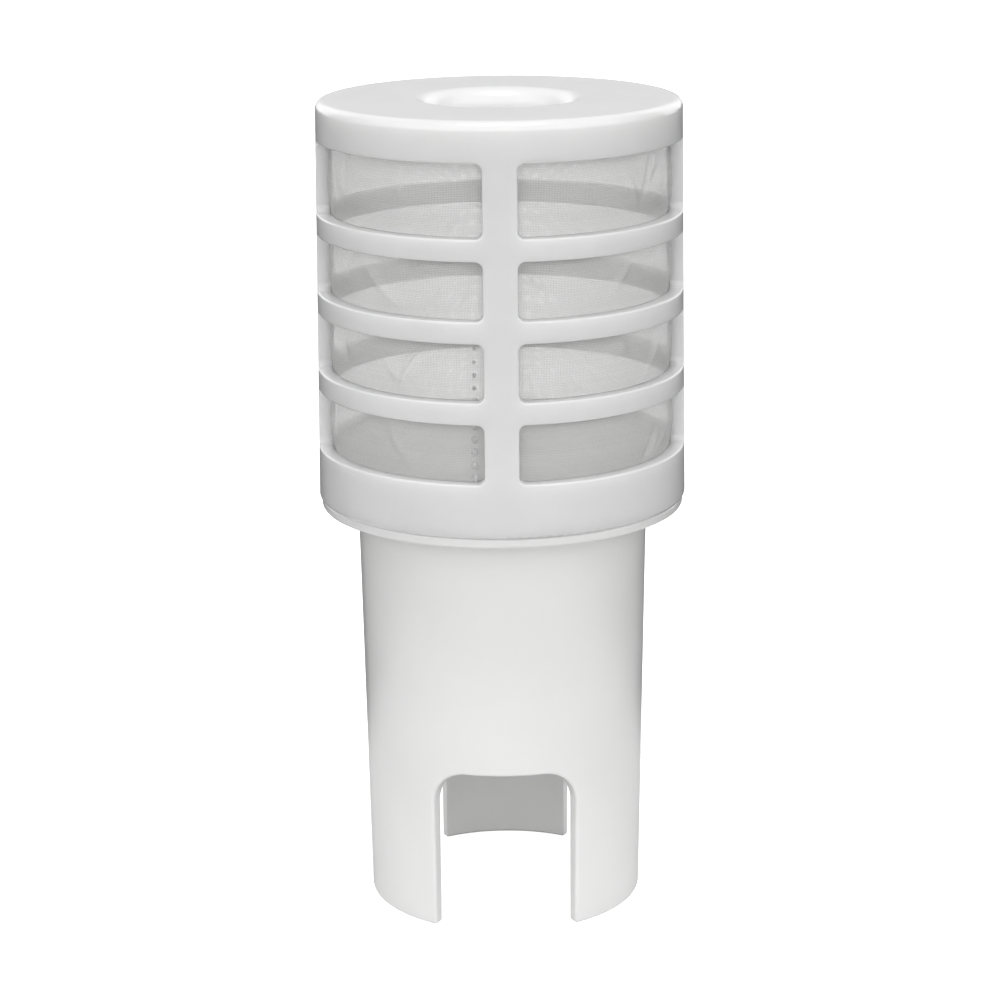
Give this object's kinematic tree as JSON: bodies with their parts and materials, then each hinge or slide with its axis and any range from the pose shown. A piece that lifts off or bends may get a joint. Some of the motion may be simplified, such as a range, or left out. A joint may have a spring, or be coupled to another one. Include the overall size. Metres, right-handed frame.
{
  "type": "foot valve",
  "caption": "Plastic foot valve for a suction pipe: slotted pipe socket, spring-loaded check valve and lift-off cylindrical mesh strainer with a closed, dished end.",
  "frame": {"origin": "on the valve's axis, in the plane of the three feet of the pipe socket", "axes": "+Z along the axis from the feet to the strainer's closed end, -Y towards the notch that faces the viewer"},
  "size_m": [0.046, 0.046, 0.1024],
  "materials": {
    "white_pp": "satin moulded white polypropylene",
    "natural_pp": "translucent natural polypropylene",
    "mesh": "fine woven translucent nylon mesh",
    "acetal": "smooth white acetal",
    "seal_rubber": "smooth black EPDM",
    "stainless": "bright stainless steel"
  },
  "bodies": {
    "body": {"valve_body": "white_pp", "pipe_gasket": "seal_rubber", "retaining_ring": "stainless", "guide_spider": "white_pp", "stem_bush": "acetal", "spring_washer_plate": "stainless", "return_spring": "stainless", "seat_insert": "white_pp", "seat_ring": "stainless", "seat_o_ring": "seal_rubber", "basket_o_ring": "seal_rubber"},
    "strainer": {"strainer_basket": "natural_pp", "strainer_mesh": "mesh"},
    "poppet_assembly": {"poppet": "acetal", "poppet_seal": "seal_rubber", "seal_retainer": "stainless", "lock_washer": "stainless", "seal_screw": "stainless"}
  },
  "joints": [
    {"name": "poppet_lift", "type": "slide", "parent": "body", "child": "poppet_assembly", "axis": [0, 0, -1], "range_m": [0, 0.005], "stiffness_N_per_m": 150, "springref_m": -0.004, "deforming": ["return_spring"]},
    {"name": "strainer_lift", "type": "slide", "parent": "body", "child": "strainer", "axis": [0, 0, 1], "range_m": [0, 0.03]}
  ]
}
